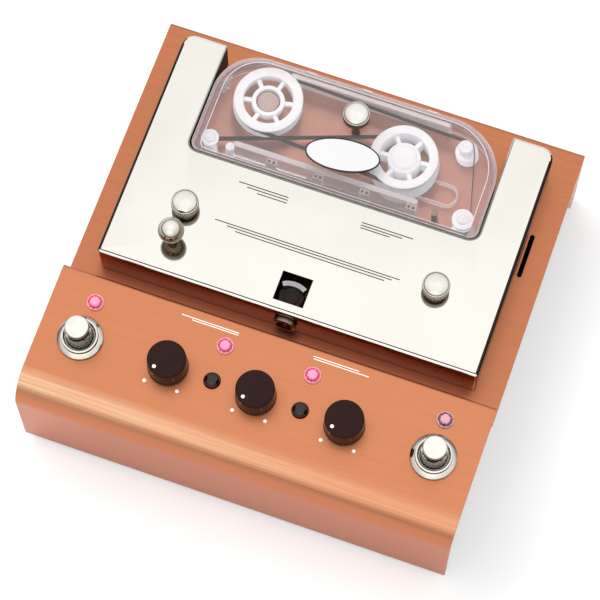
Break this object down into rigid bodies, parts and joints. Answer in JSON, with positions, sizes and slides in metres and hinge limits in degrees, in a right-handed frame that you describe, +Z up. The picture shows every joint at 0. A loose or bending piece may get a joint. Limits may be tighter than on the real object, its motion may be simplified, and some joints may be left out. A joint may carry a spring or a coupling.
{
  "type": "tape echo unit",
  "caption": "Tape echo effects unit: copper-coloured sheet case with knobs and footswitches in front, and a removable clear tape cartridge in a bright cover behind.",
  "frame": {"origin": "on the floor, under the middle of the outline", "axes": "+X to the right of someone facing the front wall, +Y to the rear wall, +Z up"},
  "size_m": [0.21, 0.2074, 0.0895],
  "materials": {
    "copper": "brushed and anodised",
    "nickel": "mirror nickel plate",
    "black_steel": "black powder coat",
    "chrome": "bright plate",
    "steel": "satin",
    "rubber": "matt",
    "dark_plastic": "gloss",
    "white_plastic": "satin",
    "clear": "clear",
    "milky": "frosted",
    "tape": "satin",
    "lens": "clear, lit",
    "board": "lacquered",
    "badge": "printed",
    "brass": "turned"
  },
  "bodies": {
    "case": {"base_pan": "black_steel", "front_panel": "copper", "deck_panel": "copper", "deck_cover": "nickel", "front_screw": "chrome", "pot_left": "steel", "pot_centre": "steel", "pot_right": "steel", "button_switch_left": "dark_plastic", "button_switch_right": "dark_plastic", "footswitch_body_left": "steel", "footswitch_body_right": "steel", "footswitch_nut_left": "chrome", "footswitch_nut_right": "chrome", "led_1": "lens", "led_2": "lens", "led_3": "lens", "led_4": "lens", "circuit_board": "board", "foot_front_left": "rubber", "foot_front_right": "rubber", "foot_rear_left": "rubber", "foot_rear_right": "rubber", "motor": "steel", "drive_belt": "rubber", "jack_input": "steel", "jack_output": "steel", "power_inlet": "dark_plastic"},
    "left_footswitch": {"footswitch_cap_left": "chrome"},
    "right_footswitch": {"footswitch_cap_right": "chrome"},
    "left_button": {"button_left": "dark_plastic"},
    "right_button": {"button_right": "dark_plastic"},
    "release": {"release_button": "chrome"},
    "left_knob": {"knob_left": "dark_plastic"},
    "centre_knob": {"knob_centre": "dark_plastic"},
    "right_knob": {"knob_right": "dark_plastic"},
    "left_cover_screw": {"cover_thumbscrew_left": "chrome"},
    "right_cover_screw": {"cover_thumbscrew_right": "chrome"},
    "lock": {"lock_slider": "dark_plastic", "lock_band": "chrome"},
    "lever": {"transfer_lever": "steel"},
    "carriage": {"head_carriage": "steel", "head_1": "steel", "head_2": "steel", "head_3": "steel", "head_4": "steel"},
    "pinch": {"pinch_roller": "rubber"},
    "capstan": {"capstan_flywheel": "brass"},
    "pulley": {"motor_pulley": "brass"},
    "cartridge": {"cartridge_tray": "clear", "cartridge_lid": "clear", "cartridge_badge": "badge", "pad_bar": "milky", "tape_loop": "tape"},
    "cartridge_screw": {"cartridge_thumbscrew": "chrome"},
    "left_reel": {"reel_left": "white_plastic"},
    "right_reel": {"reel_right": "white_plastic"},
    "front_left_guide": {"guide_front_left": "milky"},
    "front_right_guide": {"guide_front_right": "milky"},
    "rear_right_guide": {"guide_rear_right": "milky"}
  },
  "joints": [
    {"name": "left_footswitch_press", "type": "slide", "parent": "case", "child": "left_footswitch", "axis": [0, 0.0401, -0.9992], "range_m": [0, 0.0024], "stiffness_N_per_m": 3000},
    {"name": "right_footswitch_press", "type": "slide", "parent": "case", "child": "right_footswitch", "axis": [0, 0.0401, -0.9992], "range_m": [0, 0.0024], "stiffness_N_per_m": 3000},
    {"name": "left_button_press", "type": "slide", "parent": "case", "child": "left_button", "axis": [0, 0.0401, -0.9992], "range_m": [0, 0.0015], "stiffness_N_per_m": 600},
    {"name": "right_button_press", "type": "slide", "parent": "case", "child": "right_button", "axis": [0, 0.0401, -0.9992], "range_m": [0, 0.0015], "stiffness_N_per_m": 600},
    {"name": "release_press", "type": "slide", "parent": "case", "child": "release", "axis": [0, 0, -1], "range_m": [0, 0.003], "stiffness_N_per_m": 1500},
    {"name": "left_knob_turn", "type": "hinge", "parent": "case", "child": "left_knob", "pos_m": [-0.0424, -0.06878, 0.06581], "axis": [0, 0.0401, -0.9992], "range_deg": [0, 300]},
    {"name": "centre_knob_turn", "type": "hinge", "parent": "case", "child": "centre_knob", "pos_m": [0, -0.06878, 0.06581], "axis": [0, 0.0401, -0.9992], "range_deg": [0, 300]},
    {"name": "right_knob_turn", "type": "hinge", "parent": "case", "child": "right_knob", "pos_m": [0.0424, -0.06878, 0.06581], "axis": [0, 0.0401, -0.9992], "range_deg": [0, 300]},
    {"name": "left_cover_screw_turn", "type": "hinge", "parent": "case", "child": "left_cover_screw", "pos_m": [-0.061, 0.00465, 0.0722], "axis": [0, 0, 1], "continuous": true},
    {"name": "right_cover_screw_turn", "type": "hinge", "parent": "case", "child": "right_cover_screw", "pos_m": [0.061, 0.00465, 0.0722], "axis": [0, 0, 1], "continuous": true},
    {"name": "head_engage", "type": "slide", "parent": "case", "child": "carriage", "axis": [0, 1, 0], "range_m": [0, 0.003]},
    {"name": "lock_slide", "type": "slide", "parent": "case", "child": "lock", "axis": [0, -1, 0], "range_m": [0, 0.0024]},
    {"name": "lever_turn", "type": "hinge", "parent": "case", "child": "lever", "pos_m": [0, 0.00625, 0.0551], "axis": [0, 0, 1], "range_deg": [0, 17.2]},
    {"name": "capstan_spin", "type": "hinge", "parent": "case", "child": "capstan", "pos_m": [0.0475, 0.04355, 0.038], "axis": [0, 0, 1], "continuous": true},
    {"name": "pulley_spin", "type": "hinge", "parent": "case", "child": "pulley", "pos_m": [-0.02, 0.04625, 0.038], "axis": [0, 0, 1], "continuous": true},
    {"name": "pinch_spin", "type": "hinge", "parent": "carriage", "child": "pinch", "pos_m": [0.0475, 0.03365, 0.0567], "axis": [0, 0, 1], "continuous": true},
    {"name": "cartridge_lift", "type": "slide", "parent": "case", "child": "cartridge", "axis": [0, 0, 1], "range_m": [0, 0.04]},
    {"name": "cartridge_screw_turn", "type": "hinge", "parent": "cartridge", "child": "cartridge_screw", "pos_m": [-0.0015, 0.07465, 0.0708], "axis": [0, 0, 1], "continuous": true},
    {"name": "left_reel_spin", "type": "hinge", "parent": "cartridge", "child": "left_reel", "pos_m": [-0.044, 0.07175, 0.062], "axis": [0, 0, 1], "continuous": true},
    {"name": "right_reel_spin", "type": "hinge", "parent": "cartridge", "child": "right_reel", "pos_m": [0.0252, 0.06525, 0.06], "axis": [0, 0, 1], "continuous": true},
    {"name": "front_left_guide_spin", "type": "hinge", "parent": "cartridge", "child": "front_left_guide", "pos_m": [-0.0634, 0.04475, 0.06], "axis": [0, 0, 1], "continuous": true},
    {"name": "front_right_guide_spin", "type": "hinge", "parent": "cartridge", "child": "front_right_guide", "pos_m": [0.0609, 0.04475, 0.06], "axis": [0, 0, 1], "continuous": true},
    {"name": "rear_right_guide_spin", "type": "hinge", "parent": "cartridge", "child": "rear_right_guide", "pos_m": [0.051, 0.07925, 0.06], "axis": [0, 0, 1], "continuous": true}
  ],
  "couplings": [
    {"joint": "lock_slide", "follows": "head_engage", "ratio": 0.8},
    {"joint": "lever_turn", "follows": "head_engage", "rad_per_m": 100},
    {"joint": "pulley_spin", "follows": "capstan_spin", "ratio": 3.6},
    {"joint": "pinch_spin", "follows": "capstan_spin", "ratio": -0.3333},
    {"joint": "left_reel_spin", "follows": "capstan_spin", "ratio": 0.1049},
    {"joint": "right_reel_spin", "follows": "capstan_spin", "ratio": 0.1128},
    {"joint": "front_left_guide_spin", "follows": "capstan_spin", "ratio": 0.5556},
    {"joint": "front_right_guide_spin", "follows": "capstan_spin", "ratio": 0.5556},
    {"joint": "rear_right_guide_spin", "follows": "capstan_spin", "ratio": 0.3947}
  ]
}
